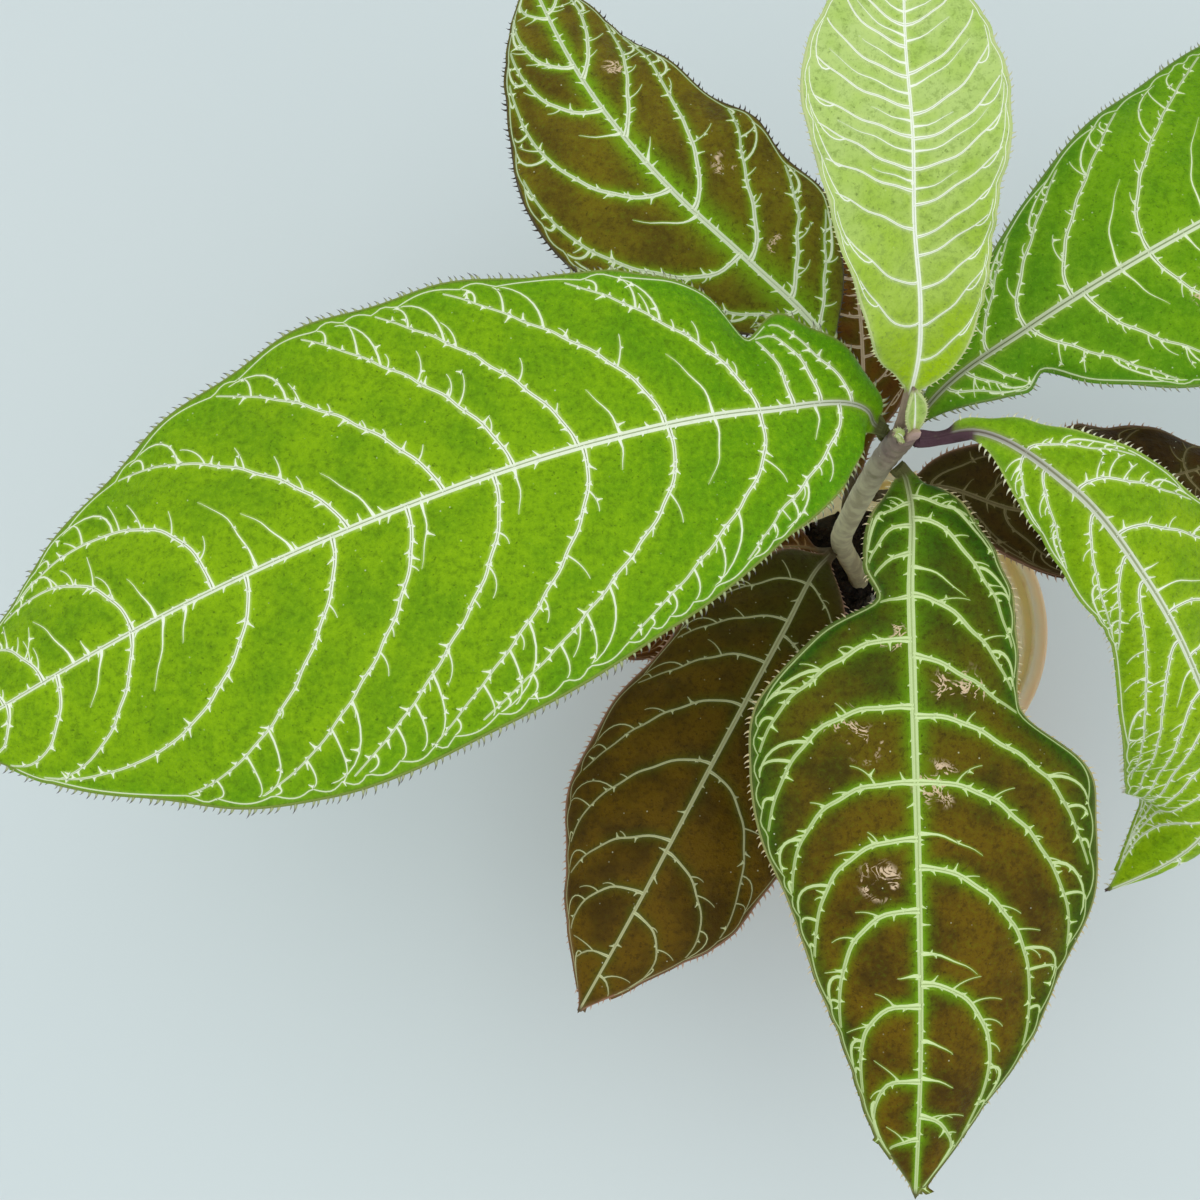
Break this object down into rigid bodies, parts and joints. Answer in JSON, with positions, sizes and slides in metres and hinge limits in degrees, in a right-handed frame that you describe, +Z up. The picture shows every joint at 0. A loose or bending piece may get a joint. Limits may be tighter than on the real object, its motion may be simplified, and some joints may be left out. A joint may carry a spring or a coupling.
{
  "type": "potted labisia",
  "caption": "Low foliage plant in a small round nursery pot: a short stem with a whorl of large toothed leaves, strongly veined, and smaller dark leaves below.",
  "frame": {"origin": "middle of the pot's flat underside", "axes": "+Z up, -Y towards the viewer who looks down on the plant, +X to the viewer's right"},
  "size_m": [0.413, 0.303, 0.222],
  "materials": {
    "pot": "thin moulded peach-brown plastic, satin",
    "soil": "damp dark potting soil, crumbly and matt",
    "stem": "smooth pale grey-green stem with leaf scars",
    "lime_leaf": "lime green leaf with raised pale veins, satin",
    "green_leaf": "mid green leaf with raised pale veins, satin",
    "brown_leaf": "brown leaf, green along its raised pale veins, satin",
    "dark_leaf": "dark brown leaf with dull tan veins, satin",
    "young_leaf": "soft yellow-green young leaf, satin"
  },
  "bodies": {
    "root": {"pot": "pot", "soil": "soil", "stem": "stem", "leaf_left": "lime_leaf", "leaf_back_left": "brown_leaf", "leaf_young": "young_leaf", "leaf_back_right": "green_leaf", "leaf_drooping_right": "lime_leaf", "leaf_front": "brown_leaf", "leaf_low_front": "dark_leaf", "leaf_low_back": "dark_leaf", "leaf_low_right": "dark_leaf", "leaf_low_left": "dark_leaf", "bud_leaf_back": "young_leaf", "bud_leaf_left": "young_leaf"}
  },
  "joints": []
}
